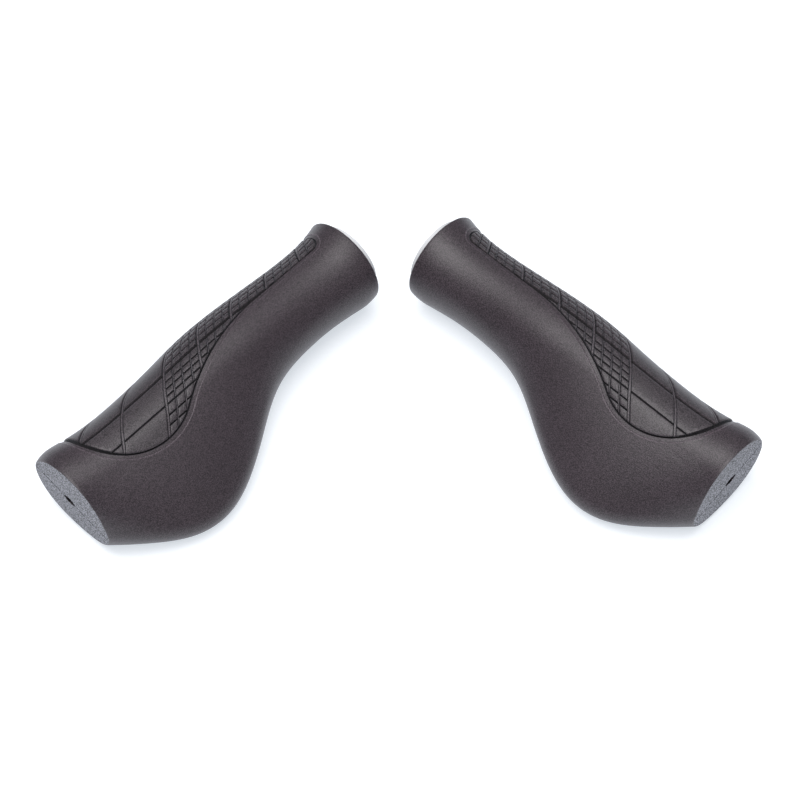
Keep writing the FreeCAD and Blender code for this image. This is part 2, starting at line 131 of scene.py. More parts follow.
# Slanted ribs: where each crosses the top of the bar, how far it runs along the bar for
# each degree towards the front, and how much that run grows with the angle.
RIBS = (
    (-16.0 * MM, 0.21 * MM, 0.0009 * MM),
    (3.2 * MM, 0.21 * MM, 0.0009 * MM),
    (22.2 * MM, 0.21 * MM, 0.0009 * MM),
    (42.2 * MM, 0.21 * MM, 0.0006 * MM),
    (59.5 * MM, 0.19 * MM, 0.0006 * MM),
    (75.5 * MM, 0.19 * MM, 0.0005 * MM),
    (93.5 * MM, 0.17 * MM, 0.0003 * MM),
    (112.4 * MM, 0.11 * MM, 0.0003 * MM),
    (129.4 * MM, 0.11 * MM, 0.0003 * MM),
)
RIB_PLACES = np.array([rib[0] for rib in RIBS])
KNURLED_FROM = RIB_PLACES[3]  # the cells past this rib are knurled
LONG_GROOVES = (0.0, 55.0, 88.7, 123.0)  # degrees from the front
FINE_ROWS = (9.2, 18.3, 27.5, 36.7, 45.8, 65.5, 73.2, 80.9, 99.6, 108.8)  # degrees as well
BLOCKS_ALONG = 4  # knurled blocks from one slanted rib to the next
BARREL_RADIUS = 15.5 * MM  # turns groove widths into angles

# Cross-sections of ribs and grooves: distance from the middle, depth.
RIB_FLANKS = (
    (-1.00 * MM, 0.0),
    (-0.80 * MM, 0.05 * MM),
    (-0.68 * MM, 0.40 * MM),
    (-0.48 * MM, 0.40 * MM),
    (-0.36 * MM, 0.05 * MM),
    (0.36 * MM, 0.05 * MM),
    (0.48 * MM, 0.40 * MM),
    (0.68 * MM, 0.40 * MM),
    (0.80 * MM, 0.05 * MM),
    (1.00 * MM, 0.0),
)
# The same between the two long grooves nearest the front, where the outer flank is wide.
FRONT_FLANKS = (
    (-1.50 * MM, 0.0),
    (-1.32 * MM, 0.08 * MM),
    (-1.10 * MM, 0.80 * MM),
    (-0.60 * MM, 0.80 * MM),
    (-0.36 * MM, 0.04 * MM),
    (0.36 * MM, 0.04 * MM),
    (0.48 * MM, 0.25 * MM),
    (0.60 * MM, 0.25 * MM),
    (0.80 * MM, 0.04 * MM),
    (1.00 * MM, 0.0),
)
RIB_HALF_WIDTH = 0.48 * MM
WIDE_GROOVE = (
    (-0.85 * MM, 0.0),
    (-0.70 * MM, 0.08 * MM),
    (-0.50 * MM, 1.0 * MM),
    (0.50 * MM, 1.0 * MM),
    (0.62 * MM, 0.08 * MM),
    (0.78 * MM, 0.0),
)
LONG_GROOVE = (
    (-0.60 * MM, 0.0),
    (-0.34 * MM, 0.08 * MM),
    (-0.18 * MM, 0.75 * MM),
    (0.18 * MM, 0.75 * MM),
    (0.34 * MM, 0.08 * MM),
    (0.60 * MM, 0.0),
)
FINE_GROOVE = (
    (-0.52 * MM, 0.0),
    (-0.31 * MM, 0.07 * MM),
    (-0.20 * MM, 0.80 * MM),
    (0.20 * MM, 0.80 * MM),
    (0.31 * MM, 0.07 * MM),
    (0.52 * MM, 0.0),
)
FINE_RIB = (
    (-0.72 * MM, 0.0),
    (-0.55 * MM, 0.06 * MM),
    (-0.45 * MM, 0.65 * MM),
    (-0.24 * MM, 0.65 * MM),
    (-0.14 * MM, 0.10 * MM),
    (0.16 * MM, 0.10 * MM),
    (0.26 * MM, 0.50 * MM),
    (0.36 * MM, 0.50 * MM),
    (0.46 * MM, 0.06 * MM),
    (0.62 * MM, 0.0),
)
FINE_RIB_HALF_WIDTH = 0.22 * MM
RIB_END = 0.12 * MM  # stretch over which a groove closes beside a rib

# How dark the rubber is painted in a groove, as painted shade, and how pale on its edges, as painted
# highlights: depth, shade.
GROOVE_SHADE = (
    (0.0, 0.0),
    (0.04 * MM, -0.30),
    (0.08 * MM, -0.30),
    (0.16 * MM, 0.2),
    (0.42 * MM, 1.0),
)

# ---------------------------------------------------------------- fineness of the meshes

SLEEVE_STEP = 0.8 * MM
PANEL_STEP = 0.7 * MM
LEAST_ROW = 0.03 * MM  # rows of the panel are no nearer than this
LEAST_COLUMN = 0.1  # degrees between its columns
PANEL_SPARE = 2.0 * MM  # how far the panel's grid runs past its ends before it is trimmed
SNAP = 0.035 * MM  # a vertex this near a cutting line is taken to lie on it
WELD = 0.002 * MM
TINY = 1e-9  # less than this is rounding
SHARP = math.radians(38)  # an edge that turns more stays crisp

# ---------------------------------------------------------------- the grip's own frame


def bar_frame(side):
    """The outer face's centre and the directions along the bar, to the wing and up from it."""
    mount = next(m for m in frame["record"]["mounts"] if m["name"] == f"{side}_bar_bore")
    along = np.array(mount["axis"], float)
    along /= np.linalg.norm(along)
    half_bore = mount["dims"]["length_mm"] * MM / 2
    centre = np.array(mount["pos_m"], float) - along * (half_bore + END_WALL)
    core = vertices_of(f"{side}_core") - centre
    off_axis = core - np.outer(core @ along, along)
    blade = off_axis[np.linalg.norm(off_axis, axis=1) > FLANGE_RADIUS + MM]
    wing = blade.mean(axis=0)
    wing /= np.linalg.norm(wing)
    lift = np.cross(along, wing)
    if lift[2] < 0:
        lift = -lift
    return centre, np.array([along, wing, lift])


def vertices_of(node):
    """The vertices of a CAD node, in the row frame."""
    mesh = frame["nodes"][node].data
    points = np.empty(len(mesh.vertices) * 3)
    mesh.vertices.foreach_get("co", points)
    return points.reshape(-1, 3)


def tree_of(node, centre, axes):
    """A ray-casting tree of a CAD node, in the grip's own frame."""
    points = (vertices_of(node) - centre) @ axes.T
    faces = [tuple(p.vertices) for p in frame["nodes"][node].data.polygons]
    return points, BVHTree.FromPolygons([Vector(p) for p in points], faces)


# ---------------------------------------------------------------- smooth outer surface


def spline_weights(x):
    """Shares of the four control values round a span, for the fraction x of that span."""
    return np.stack([
        (1 - x) ** 3,
        3 * x**3 - 6 * x**2 + 4,
        -3 * x**3 + 3 * x**2 + 3 * x + 1,
        x**3,
    ]) / 6


def spline_slopes(x):
    """How those shares change along the span."""
    return np.stack([-((1 - x) ** 2), 3 * x**2 - 4 * x, -3 * x**2 + 2 * x + 1, x**2]) / 2


class Skin:
    """The outer surface of one grip: a smooth radius over a and theta.

    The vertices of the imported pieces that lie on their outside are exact, so a bicubic
    spline is fitted to them.
    """

    SPANS_ALONG = 27
    SPANS_ROUND = 120
    STIFFNESS = 2e-3
    FAR = 90 * MM  # rays start this far from the bar axis
    OUTSIDE = 0.06 * MM  # a vertex this near where its ray lands is on the outside
    LEAST_RADIUS = 9.38 * MM  # nothing on the outside is nearer the bar axis
    FACE_MARGIN = 0.05 * MM  # rays keep this far from the outer face
    RIM_MARGIN = 0.1 * MM  # and this far from the rounded rim
    MOST_MOVED = 0.051 * MM  # a vertex that these margins move further is left out

    def __init__(self, side):
        self.side = side
        self.centre, self.axes = bar_frame(side)
        self.step_along = BODY_LENGTH / self.SPANS_ALONG
        self.step_round = 2 * math.pi / self.SPANS_ROUND
        a, theta, radius = self.outer_vertices()
        self.fit(a, theta, radius)

    def outer_vertices(self):
        pieces = [tree_of(f"{self.side}_{part}", self.centre, self.axes)
                  for part in ("sleeve", "texture_panel")]
        found = []
        for points, _ in pieces:
            for point in points:
                a = min(max(point[0], self.FACE_MARGIN), BODY_LENGTH - RIM_ROUND - self.RIM_MARGIN)
                if abs(a - point[0]) > self.MOST_MOVED:
                    continue
                radius = math.hypot(point[1], point[2])
                if radius < self.LEAST_RADIUS:
                    continue
                outward = Vector((0, point[1] / radius, point[2] / radius))
                start = Vector((a, 0, 0)) + outward * self.FAR
                hits = [tree.ray_cast(start, -outward)[3] for _, tree in pieces]
                seen = self.FAR - min(h for h in hits if h is not None)
                if abs(seen - radius) < self.OUTSIDE:
                    found.append((point[0], math.atan2(point[2], point[1]), radius))
        return np.array(found).T

    def spans(self, a, theta):
        """The span along the bar and round it that holds each place, and how far in it lies."""
        along = np.clip(np.floor(a / self.step_along).astype(int), 0, self.SPANS_ALONG - 1)
        turns = np.mod(theta, 2 * math.pi) / self.step_round
        around = np.minimum(np.floor(turns).astype(int), self.SPANS_ROUND - 1)
        return along, a / self.step_along - along, around, turns - around

    def fit(self, a, theta, radius):
        """Control values that meet the radii, with a little stiffness where there are none."""
        rows = self.SPANS_ALONG + 3
        columns = self.SPANS_ROUND
        along, x, around, y = self.spans(a, theta)
        shares_along, shares_round = spline_weights(x), spline_weights(y)
        cells, shares = [], []
        for i in range(4):
            for j in range(4):
                cells.append((along + i) * columns + (around + j) % columns)
                shares.append(shares_along[i] * shares_round[j])
        cells, shares = np.array(cells), np.array(shares)
        size = rows * columns
        normal = np.zeros((size, size))
        target = np.zeros(size)
        for first in range(16):
            np.add.at(target, cells[first], shares[first] * radius)
            for second in range(16):
                np.add.at(normal, (cells[first], cells[second]), shares[first] * shares[second])
        bend_along = np.diff(np.eye(rows), 2, axis=0)
        bend_round = np.eye(columns) * -2 + np.roll(np.eye(columns), 1, 0)
        bend_round += np.roll(np.eye(columns), -1, 0)
        normal += self.STIFFNESS * np.kron(bend_along.T @ bend_along, np.eye(columns))
        normal += self.STIFFNESS * np.kron(np.eye(rows), bend_round.T @ bend_round)
        self.control = np.linalg.solve(normal, target).reshape(rows, columns)

    def blend(self, a, theta, weights_along, weights_round):
        """The control values round each place, mixed by the weights."""
        along, x, around, y = self.spans(a, theta)
        shares_along, shares_round = weights_along(x), weights_round(y)
        total = np.zeros(len(a))
        for i in range(4):
            for j in range(4):
                value = self.control[along + i, (around + j) % self.SPANS_ROUND]
                total += shares_along[i] * shares_round[j] * value
        return total

    def radius(self, a, theta):
        return self.blend(a, theta, spline_weights, spline_weights)

    def normal(self, a, theta):
        """Outward unit normals, in the grip's own frame."""
        radius = self.radius(a, theta)
        climb = self.blend(a, theta, spline_slopes, spline_weights) / self.step_along
        turn = self.blend(a, theta, spline_weights, spline_slopes) / self.step_round / radius
        outward = np.stack([
            -climb,
            np.cos(theta) + turn * np.sin(theta),
            np.sin(theta) - turn * np.cos(theta),
        ], axis=1)
        return outward / np.linalg.norm(outward, axis=1)[:, None]

    def point(self, a, theta, inset=0.0):
        """Points on the surface, moved towards the bar axis by inset."""
        radius = self.radius(a, theta) - inset
        return np.stack([a, radius * np.cos(theta), radius * np.sin(theta)], axis=1)

    def columns(self, spacing):
        """Angles that divide the average cross-section evenly."""
        theta = np.linspace(0, 2 * math.pi, 4 * 360 + 1)
        outline = np.zeros(len(theta))
        sections = np.linspace(0, BODY_LENGTH, 12)
        for a in sections:
            outline += self.radius(np.full(len(theta), a), theta) / len(sections)
        run = np.hypot(np.gradient(outline, theta), outline)
        travelled = np.concatenate([[0], np.cumsum((run[1:] + run[:-1]) / 2 * np.diff(theta))])
        count = round(travelled[-1] / spacing)
        return np.interp(np.linspace(0, travelled[-1], count + 1), travelled, theta)


# ---------------------------------------------------------------- outline of the panel


def plan_distance(a, front):
    """Distance outside the panel's outline in plan, less than 0 inside it."""
    past_end = a - (PANEL_END - PANEL_CORNER)
    past_edge = STRIP_EDGE + PANEL_CORNER - front
    corner = np.hypot(np.maximum(past_end, 0), np.maximum(past_edge, 0))
    end = corner + np.minimum(np.maximum(past_end, past_edge), 0) - PANEL_CORNER
    ease = EASE_RADIUS - np.hypot(a - EASE_ALONG, front - EASE_FRONT)
    bulge = np.hypot(a - BULGE_ALONG, np.minimum(front - BULGE_FRONT, 0)) - BULGE_RADIUS
    side = (a - BULGE_ALONG) * (BULGE_FRONT - EASE_FRONT)
    side += (front - BULGE_FRONT) * (EASE_ALONG - BULGE_ALONG)
    return np.where(a > EASE_ALONG, end, np.where(side > 0, ease, bulge))


def outline_distance(skin, a, theta):
    """Distance outside the panel's outline, measured along the surface near the outline."""
    front = -skin.radius(a, theta) * np.cos(theta)
    step = 0.01 * MM
    distance = plan_distance(a, front)
    along = (plan_distance(a + step, front) - plan_distance(a - step, front)) / (2 * step)
    ahead = (plan_distance(a, front + step) - plan_distance(a, front - step)) / (2 * step)
    normal = skin.normal(a, theta)
    lean = along * normal[:, 0] - ahead * normal[:, 1]
    least = 0.08  # where the surface is nearly upright the stretch is held back
    return distance / np.sqrt(np.maximum(1 - lean**2, least))


# ---------------------------------------------------------------- meshes as arrays


def grid_faces(rows, columns):
    """Triangles of a rows by columns grid of points."""
    corner = np.arange((rows - 1) * columns).reshape(rows - 1, columns)[:, :-1].ravel()
    right, below, across = corner + 1, corner + columns, corner + columns + 1
    upper = np.stack([corner, below, across], axis=1)
    lower = np.stack([corner, across, right], axis=1)
    return np.concatenate([upper, lower])


def cut(points, faces, column, level):
    """Split the triangles that cross a level of one column, so that edges run along it."""
    value = points[:, column] - level
    value[np.abs(value) < SNAP] = 0
    points[value == 0, column] = level
    sign = np.sign(value)
    corner = sign[faces]
    crossing = (corner.min(axis=1) < 0) & (corner.max(axis=1) > 0)
    kept, split = faces[~crossing], faces[crossing]
    if not len(split):
        return points, faces
    corner = sign[split]
    on_line = (corner == 0).any(axis=1)
    odd = np.where(on_line, np.argmin(np.abs(corner), axis=1),
                   np.argmax(corner == -np.sign(corner.sum(axis=1))[:, None], axis=1))
    turned = np.take_along_axis(split, (odd[:, None] + np.arange(3)) % 3, axis=1)
    first, second, third = turned.T

    ends = np.concatenate([
        np.stack([second, third], axis=1)[on_line],
        np.stack([first, second], axis=1)[~on_line],
        np.stack([first, third], axis=1)[~on_line],
    ])
    edges, place = np.unique(np.sort(ends, axis=1), axis=0, return_inverse=True)
    place = place.ravel() + len(points)
    start, finish = edges.T
    share = (value[start] / (value[start] - value[finish]))[:, None]
    added = points[start] * (1 - share) + points[finish] * share
    added[:, column] = level
    count = on_line.sum()
    middle = place[:count]
    near, far = np.split(place[count:], 2)
    f, s, t = first[on_line], second[on_line], third[on_line]
    halves = [np.stack([f, s, middle], axis=1), np.stack([f, middle, t], axis=1)]
    f, s, t = first[~on_line], second[~on_line], third[~on_line]
    thirds = [
        np.stack([f, near, far], axis=1),
        np.stack([near, s, t], axis=1),
        np.stack([near, t, far], axis=1),
    ]
    return np.concatenate([points, added]), np.concatenate([kept, *halves, *thirds])


def used_only(points, faces):
    """Drop the points that no face uses."""
    used, renumbered = np.unique(faces, return_inverse=True)
    return points[used], renumbered.reshape(-1, 3)


def border_loops(faces):
    """Closed loops of vertices along the open edges, in order."""
    edges = np.concatenate([faces[:, [0, 1]], faces[:, [1, 2]], faces[:, [2, 0]]])
    known = {tuple(e) for e in edges.tolist()}
    following = {a: b for a, b in known if (b, a) not in known}
    loops = []
    while following:
        start, vertex = next(iter(following.items()))
        del following[start]
        loop = [start]
        while vertex != start:
            loop.append(vertex)
            vertex = following.pop(vertex)
        loops.append(loop)
    return loops


def fill_flat(loops, inner_points, inside):
    """Triangles through flat closed loops and some inner points, kept where inside says so."""
    flat = np.concatenate([*loops, inner_points]) if len(inner_points) else np.concatenate(loops)
    edges, start = [], 0
    for loop in loops:
        numbers = [start + i for i in range(len(loop))]
        edges += list(zip(numbers, numbers[1:] + numbers[:1]))
        start += len(loop)
    # The triangulation works in millimetres, to suit its tolerance.
    made = delaunay_2d_cdt([Vector(p) for p in flat / MM], edges, [], 0, 1e-5)
    origin = np.array([numbers[0] if numbers else -1 for numbers in made[3]])
    faces = origin[np.array([face for face in made[2] if len(face) == 3])]
    faces = faces[(faces >= 0).all(axis=1)]
    middle = flat[faces].mean(axis=1)
    return flat, faces[inside(middle)]


class Part:
    """Some faces of a piece, in the grip's own frame.

    hollow is the painted shade and highlight of each point: 1, full painted shade, at the bottom of a
    groove,
    0 on a plain face and less than 0, a painted highlight, on an edge. slot is the number of the faces'
    material.
    """

    def __init__(self, points, faces, painted_shading=None, slot=0):
        self.points, self.faces, self.slot = points, faces, slot
        self.painted_shading = np.zeros(len(points)) if painted_shading is None else painted_shading


def make_piece(name, skin, parts, materials):
    """A mesh object in the row frame from its parts."""
    starts = np.cumsum([0] + [len(part.points) for part in parts])
    faces = np.concatenate([part.faces + start for part, start in zip(parts, starts)])
    slots = np.concatenate([np.full(len(part.faces), part.slot) for part in parts])
    placed = skin.centre + np.concatenate([part.points for part in parts]) @ skin.axes
    mirrored = np.linalg.det(skin.axes) < 0
    if mirrored:
        faces = faces[:, ::-1]
    mesh = bpy.data.meshes.new(name)
    mesh.from_pydata(placed.tolist(), [], faces.tolist())
    for material in materials:
        mesh.materials.append(material)
    mesh.polygons.foreach_set("material_index", slots)
    # the painted shade and highlights go to the material as a point attribute
    painted_shading = mesh.attributes.new("painted_shading", "FLOAT", "POINT")
    painted_shading.data.foreach_set("value", np.concatenate([part.painted_shading for part in parts]))
    tidy_mesh(mesh)
    piece = bpy.data.objects.new(name, mesh)
    bpy.context.scene.collection.objects.link(piece)
    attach(piece, f"{skin.side}_grip")
    return piece


def tidy_mesh(mesh):
    """Weld the parts, drop slivers, and shade all but the crisp edges smooth."""
    work = bmesh.new()
    work.from_mesh(mesh)
    bmesh.ops.remove_doubles(work, verts=work.verts, dist=WELD)
    bmesh.ops.dissolve_degenerate(work, dist=WELD / 4, edges=work.edges)
    bmesh.ops.triangulate(work, faces=work.faces)
    work.to_mesh(mesh)
    work.free()
    mesh.shade_smooth()
    mesh.set_sharp_from_angle(angle=SHARP)


def spaced(stops, step):
    """The stops, with the stretches between them divided evenly into about step."""
    values = [stops[0]]
    for low, high in zip(stops, stops[1:]):
        count = max(1, round((high - low) / step))
        values += list(np.linspace(low, high, count + 1)[1:])
    return np.array(values)


# ---------------------------------------------------------------- sleeve


def profile_height(profile, distance):
    """Height, share or shade at a distance, by straight runs between the profile's points."""
    places, heights = np.array(sorted(profile)).T
    return np.interp(distance, places, heights)


def end_inset(a):
    """How far the two ends are rounded in towards the bar axis."""
    inset = np.zeros(len(a))
    for distance, round_size in ((a, END_ROUND), (BODY_LENGTH - a, RIM_ROUND)):
        left = np.clip(round_size - distance, 0, round_size)
        inset += round_size - np.sqrt(round_size**2 - left**2)
    return inset


def sleeve_outside(skin, columns):
    """The sleeve's outer surface with the panel's recess and the sunk band round it."""
    rim = BODY_LENGTH - RIM_ROUND
    rows_of_face_edge = np.array([0, 0.3, 1]) * END_ROUND
    rows_of_rim = rim + np.array([0.4, 0.75, 0.93, 1]) * RIM_ROUND
    rows_between = spaced([END_ROUND, rim], SLEEVE_STEP)[1:]
    rows = np.concatenate([rows_of_face_edge, rows_between, rows_of_rim])
    a, theta = (g.ravel() for g in np.meshgrid(rows, columns, indexing="ij"))
    points = np.stack([a, theta, outline_distance(skin, a, theta)], axis=1)
    faces = grid_faces(len(rows), len(columns))
    for distance, _ in BAND_PROFILE:
        points, faces = cut(points, faces, 2, distance)
    a, theta, distance = points.T
    height = profile_height(BAND_PROFILE, distance)
    share = profile_height(BAND_FADE, a)
    height *= np.where(distance > 0, share, 1)
    placed = skin.point(a, theta, end_inset(a)) + skin.normal(a, theta) * height[:, None]
    ends = (a < TINY) | (a > BODY_LENGTH - TINY)
    placed[ends, 0] = a[ends]
    # Painted shade on the recess's wall and floor, none on the band, and a painted highlight along the
    # band's outer edge.
    painted_shading = profile_height(GROOVE_SHADE, -height)
    painted_shading[distance > 0] = 0
    painted_shading -= profile_height(BAND_PAINTED_HIGHLIGHT, distance) * share
    return Part(placed, faces, painted_shading)


def sleeve_inside(skin, columns):
    """The rim and the bore that holds the core."""
    rim_radius = skin.radius(np.full(len(columns), BODY_LENGTH), columns) - RIM_ROUND
    rings = [(BODY_LENGTH, rim_radius), (BODY_LENGTH, CORE_RADIUS), (END_WALL, CORE_RADIUS)]
    points = np.concatenate([
        np.stack([np.full(len(columns), a), radius * np.cos(columns), radius * np.sin(columns)], axis=1)
        for a, radius in rings
    ])
    return Part(points, grid_faces(len(rings), len(columns)))


def vent_arc(margin=0.0):
    """Half the vent's length, half its height and the radius of its arcs, with a margin round it."""
    half_length, half_height = VENT_LENGTH / 2 + margin, VENT_HEIGHT / 2 + margin
    return half_length, half_height, (half_length**2 + half_height**2) / (2 * half_height)


def vent_outline(margin=0.0):
    """The eye-shaped vent: two arcs that meet in corners on the parting line."""
    half_length, half_height, radius = vent_arc(margin)
    reach = math.asin(half_length / radius)
    angles = np.linspace(-reach, reach, VENT_ARC_STEPS + 1)[:-1]
    upper = np.stack([radius * np.sin(angles), radius * np.cos(angles) - radius + half_height], axis=1)
    return np.concatenate([upper, -upper])


def in_vent(points):
    _, half_height, radius = vent_arc()
    return np.hypot(points[:, 0], np.abs(points[:, 1]) + radius - half_height) < radius


def end_face(skin, columns):
    """The flat outer face with the vent through it and the moulding line across it."""
    outer = skin.point(np.zeros(len(columns) - 1), columns[:-1], END_ROUND)[:, 1:]
    vent = vent_outline()

    def within(points, margin):
        limit = skin.radius(np.zeros(len(points)), np.arctan2(points[:, 1], points[:, 0]))
        return np.hypot(*points.T) < limit - margin

    places = np.arange(*SEAM_REACH, SEAM_STEP)
    seam = np.array([[w, n] for w in places for n in (-SEAM_HALF_WIDTH, 0, SEAM_HALF_WIDTH)])
    clear = 0.9  # the seam's points stay out of the vent and a tenth past it
    seam = seam[~in_vent(seam * clear) & within(seam, SEAM_MARGIN)]
    inner_ring = outer * (1 - END_ROUND / np.hypot(*outer.T))[:, None]
    inner_points = np.concatenate([seam, inner_ring, vent_outline(VENT_MARGIN)])
    flat, faces = fill_flat([outer, vent], inner_points, lambda p: within(p, 0) & ~in_vent(p))
    depth = np.zeros(len(flat))
    first = len(outer) + len(vent)
    depth[first:first + len(seam)][np.abs(seam[:, 1]) < TINY] = SEAM_DEPTH
    # the moulding line's depth also sets its painted shade
    return Part(np.column_stack([depth, flat]), faces[:, ::-1], depth / SEAM_DEPTH, 1)


def vent_wall():
    """The wall of the vent, through the end wall."""
    vent = vent_outline()
    vent = np.concatenate([vent, vent[:1]])
    points = np.concatenate([np.column_stack([np.full(len(vent), a), vent]) for a in (0, END_WALL)])
    # the vent's wall is in full painted shade
    return Part(points, grid_faces(2, len(vent)), np.ones(len(points)))


def inner_wall(columns):
    """The inner side of the end wall, inside the bore."""
    outer = CORE_RADIUS * np.stack([np.cos(columns[:-1]), np.sin(columns[:-1])], axis=1)
    flat, faces = fill_flat([outer, vent_outline()], [], lambda points: ~in_vent(points))
    return Part(np.column_stack([np.full(len(flat), END_WALL), flat]), faces)


def build_sleeve(skin, materials):
    columns = skin.columns(SLEEVE_STEP)
    parts = [
        sleeve_outside(skin, columns),
        sleeve_inside(skin, columns),
        inner_wall(columns),
        vent_wall(),
        end_face(skin, columns),
    ]
    piece = make_piece(f"{skin.side}_rubber_sleeve", skin, parts, materials)
    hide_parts(f"{skin.side}_sleeve")
    return piece


# ---------------------------------------------------------------- texture panel


def along_bar(p, angle):
    """Where the slanted line that crosses the top of the bar at p lies at an angle."""
    turned = 90 - np.abs(angle)
    slant = np.interp(p, RIB_PLACES, [rib[1] for rib in RIBS])
    growth = np.interp(p, RIB_PLACES, [rib[2] for rib in RIBS])
    return p + slant * turned + growth * turned * np.abs(turned)


def nearest(value, places):
    """Signed distance to the nearest of some places."""
    away = value[:, None] - np.array(places)
    closest = np.argmin(np.abs(away), axis=1)
    return np.take_along_axis(away, closest[:, None], axis=1).ravel()


def divided(places, counts):
    """Places that divide each stretch between neighbours into a number of equal parts."""
    found = []
    for low, high, count in zip(places, places[1:], counts):
        found += [low + (high - low) * part / count for part in range(1, count)]
    return found


FINE_RIBS = divided(RIB_PLACES, [BLOCKS_ALONG] * (len(RIBS) - 1))


def stops_of(profiles, middles, scale=1.0):
    """Values where the cross-sections round some middles bend."""
    return [middle + place * scale for middle in middles for profile in profiles
            for place, _ in profile]


def thinned(stops, least):
    """The stops in order, without those that crowd the one before."""
    kept = []
    for stop in sorted(stops):
        if not kept or stop - kept[-1] > least:
            kept.append(stop)
    return kept


def panel_rows():
    """Values of p, where the slanted lines cross the top of the bar, for the panel's rows."""
    stops = stops_of((RIB_FLANKS, FRONT_FLANKS), RIB_PLACES) + stops_of((FINE_RIB,), FINE_RIBS)
    return spaced(thinned(stops, LEAST_ROW), PANEL_STEP)


def panel_columns():
    """Angles from the front, in degrees, for the panel's columns on one side."""
    to_angle = math.degrees(1 / BARREL_RADIUS)
    stops = stops_of((FINE_GROOVE,), FINE_ROWS, to_angle)
    stops += stops_of((WIDE_GROOVE,), LONG_GROOVES[:2], to_angle)
    stops += stops_of((LONG_GROOVE,), LONG_GROOVES[2:], to_angle)
    stops = [0.0] + [s for s in stops if s > LEAST_COLUMN]
    return spaced(thinned(stops, LEAST_COLUMN), PANEL_STEP * to_angle)


def closed_by(distance, half_width):
    """0 on a rib, which interrupts the grooves that it crosses, and 1 away from it."""
    return np.clip((np.abs(distance) - half_width) / RIB_END, 0, 1)


def panel_height(p, angle, distance):
    """Height and painted shade and highlight of the panel's face: ribs, grooves, knurled blocks and
    rounded edge.
    """
    beside = np.abs(angle)
    degree = math.radians(1) * BARREL_RADIUS
    from_rib = nearest(p, RIB_PLACES)
    from_fine_rib = nearest(p, FINE_RIBS)
    front = np.clip((LONG_GROOVES[1] + 1 - beside) / 2, 0, 1)  # changes over in 2 degrees
    flanks = profile_height(RIB_FLANKS, from_rib) * (1 - front)
    flanks += profile_height(FRONT_FLANKS, from_rib) * front
    wide = profile_height(WIDE_GROOVE, nearest(beside, LONG_GROOVES[:2]) * degree)
    long = profile_height(LONG_GROOVE, nearest(beside, LONG_GROOVES[2:]) * degree)
    long = np.maximum(wide, long) * closed_by(from_rib, RIB_HALF_WIDTH)
    rows = profile_height(FINE_GROOVE, nearest(beside, FINE_ROWS) * degree)
    rows *= closed_by(from_rib, RIB_HALF_WIDTH) * closed_by(from_fine_rib, FINE_RIB_HALF_WIDTH)
    fine = np.maximum(rows, profile_height(FINE_RIB, from_fine_rib))
    fine *= p > KNURLED_FROM
    depth = np.maximum.reduce([flanks, long, fine])
    # the depth sets the painted shade in the grooves and the painted highlights on their edges
    return profile_height(PANEL_EDGE, distance) - depth, profile_height(GROOVE_SHADE, depth)


def panel_face(skin):
    """The panel's outer face: its points, the points below them on the recess, faces and painted shade
    and highlight.
    """
    rows = panel_rows()
    half = panel_columns()
    columns = np.concatenate([-half[:0:-1], half])
    p, angle = (g.ravel() for g in np.meshgrid(rows, columns, indexing="ij"))
    a = along_bar(p, angle)
    theta = np.radians(angle + 180)
    distance = outline_distance(skin, a, theta)
    distance += START_GAP * profile_height(START_FADE, a)
    points = np.stack([p, angle, distance, a], axis=1)
    faces = grid_faces(len(rows), len(columns))
    in_range = (a > PANEL_START - PANEL_SPARE) & (a < PANEL_END + PANEL_SPARE)
    faces = faces[in_range[faces].any(axis=1)]
    points, faces = used_only(points, faces)
    for distance, _ in PANEL_EDGE:
        points, faces = cut(points, faces, 2, distance)
    inner = points[faces, 2].max(axis=1) <= -PANEL_GAP + TINY
    points, faces = used_only(points, faces[inner])
    p, angle, distance, a = points.T
    theta = np.radians(angle + 180)
    height, painted_shading = panel_height(p, angle, distance)
    placed = skin.point(a, theta) + skin.normal(a, theta) * height[:, None]
    floor = skin.point(a, theta) - skin.normal(a, theta) * INLAY_DEPTH
    return placed, floor, faces, painted_shading


def build_panel(skin, material):
    face, floor, faces, painted_shading = panel_face(skin)
    border = max(border_loops(faces), key=len)
    ring = np.array(border + border[:1])
    wall = np.concatenate([floor[ring], face[ring]])
    parts = [
        Part(face, faces, painted_shading),
        # the panel's side wall, in the gap round it, is in full painted shade
        Part(wall, grid_faces(2, len(ring)), np.ones(len(wall))),
    ]
    piece = make_piece(f"{skin.side}_rubber_panel", skin, parts, [material])
    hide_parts(f"{skin.side}_texture_panel")
    return piece


# ---------------------------------------------------------------- materials


def node_material(name):
    material = bpy.data.materials.new(name)
    material.use_nodes = True
    nodes = material.node_tree.nodes
    return material, nodes, material.node_tree.links, nodes["Principled BSDF"]


def noise(nodes, links, place, scale, detail):
    """Fine or broad cloudiness at a number of waves to the metre."""
    texture = nodes.new("ShaderNodeTexNoise")
    texture.inputs["Scale"].default_value = scale
    texture.inputs["Detail"].default_value = detail
    links.new(place.outputs["Object"], texture.inputs["Vector"])
    return texture.outputs["Fac"]


def clouded(nodes, links, place, scale, colour, share):
    """A colour that a broad cloudiness makes darker and paler by up to a share of it."""
    tint = np.array(colour)
    colours = nodes.new("ShaderNodeValToRGB")
    first, last = colours.color_ramp.elements
    first.position, last.position = 0.3, 0.7  # the noise seldom leaves this range
    first.color, last.color = (*(tint * (1 - share)), 1), (*(tint * (1 + share)), 1)
    links.new(noise(nodes, links, place, scale, 3), colours.inputs["Fac"])
    return colours.outputs["Color"]


def scaled(nodes, links, colour, factor):
    """A colour multiplied by a factor."""
    product = nodes.new("ShaderNodeVectorMath")
    product.operation = "SCALE"
    links.new(colour, product.inputs[0])
    links.new(factor, product.inputs["Scale"])
    return product.outputs["Vector"]


